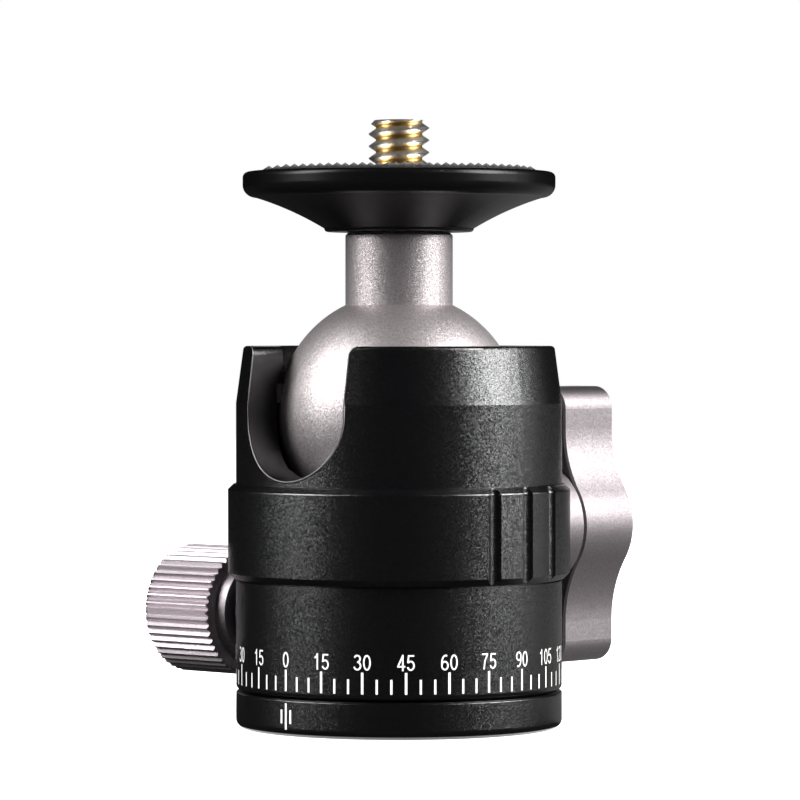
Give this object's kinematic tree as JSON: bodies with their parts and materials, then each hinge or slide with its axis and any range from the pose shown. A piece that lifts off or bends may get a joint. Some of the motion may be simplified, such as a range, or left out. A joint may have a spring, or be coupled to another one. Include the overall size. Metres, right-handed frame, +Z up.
{
  "type": "tripod ball head",
  "caption": "Small tripod ball head: a ball with a round camera plate in a notched black housing, a wing knob to lock it, and a panning base with a fluted knob and a degree scale.",
  "frame": {"origin": "centre of the base's bottom face, on the pan axis and the tripod thread's axis", "axes": "+Z up along the pan axis and the upright stem; -Y through the drop notch; +Y along the main knob's axis; -X along the pan knob's axis"},
  "size_m": [0.0488, 0.0479, 0.0632],
  "materials": {
    "black_anodised": "sandblasted, black anodised",
    "silver_anodised": "sandblasted, clear anodised",
    "satin_silver": "satin, clear anodised",
    "plain_aluminium": "turned",
    "steel": "zinc plated",
    "plated_screw": "bright steel with traces of yellow plating",
    "brass": "milled",
    "rubber": "moulded, with small raised points",
    "slip_plastic": "turned low-friction plastic"
  },
  "bodies": {
    "base": {"base_ring": "black_anodised", "thread_reducer": "steel", "pan_slip_ring": "slip_plastic", "pan_keeper_washer": "steel", "pan_keeper_screw": "steel"},
    "housing": {"housing": "black_anodised", "upper_seat_ring": "slip_plastic", "floor_plug": "plain_aluminium", "main_knob_washer": "slip_plastic", "pan_knob_washer": "slip_plastic"},
    "ball": {"ball_stem": "silver_anodised", "top_plate": "black_anodised", "plate_pad": "rubber", "camera_screw": "plated_screw"},
    "cup": {"ball_cup": "slip_plastic"},
    "wedge": {"lock_wedge": "brass"},
    "main_knob": {"main_knob": "satin_silver", "main_knob_spacer": "satin_silver", "main_lock_screw": "steel"},
    "pan_shoe": {"pan_brake_shoe": "slip_plastic"},
    "pan_knob": {"pan_knob": "satin_silver", "pan_lock_screw": "steel"}
  },
  "joints": [
    {"name": "pan_turn", "type": "hinge", "parent": "base", "child": "housing", "pos_m": [0, 0, 0], "axis": [0, 0, 1], "continuous": true},
    {"name": "ball_tilt", "type": "hinge", "parent": "housing", "child": "ball", "pos_m": [0, 0, 0.03255], "axis": [1, 0, 0], "range_deg": [-36, 90]},
    {"name": "wedge_slide", "type": "slide", "parent": "housing", "child": "wedge", "axis": [0, 1, 0], "range_m": [0, 0.00125]},
    {"name": "main_knob_turn", "type": "hinge", "parent": "wedge", "child": "main_knob", "pos_m": [0, 0.03, 0.02035], "axis": [0, 1, 0], "range_deg": [0, 470]},
    {"name": "cup_lift", "type": "slide", "parent": "housing", "child": "cup", "axis": [0, 0, 1], "range_m": [-0.0006, 0]},
    {"name": "shoe_slide", "type": "slide", "parent": "housing", "child": "pan_shoe", "axis": [-1, 0, 0], "range_m": [0, 0.001]},
    {"name": "pan_knob_turn", "type": "hinge", "parent": "pan_shoe", "child": "pan_knob", "pos_m": [-0.03, 0, 0.01115], "axis": [-1, 0, 0], "range_deg": [0, 470]}
  ],
  "couplings": [
    {"joint": "main_knob_turn", "follows": "wedge_slide", "rad_per_m": 6283.2},
    {"joint": "cup_lift", "follows": "wedge_slide", "ratio": -0.36397},
    {"joint": "pan_knob_turn", "follows": "shoe_slide", "rad_per_m": 7854}
  ]
}
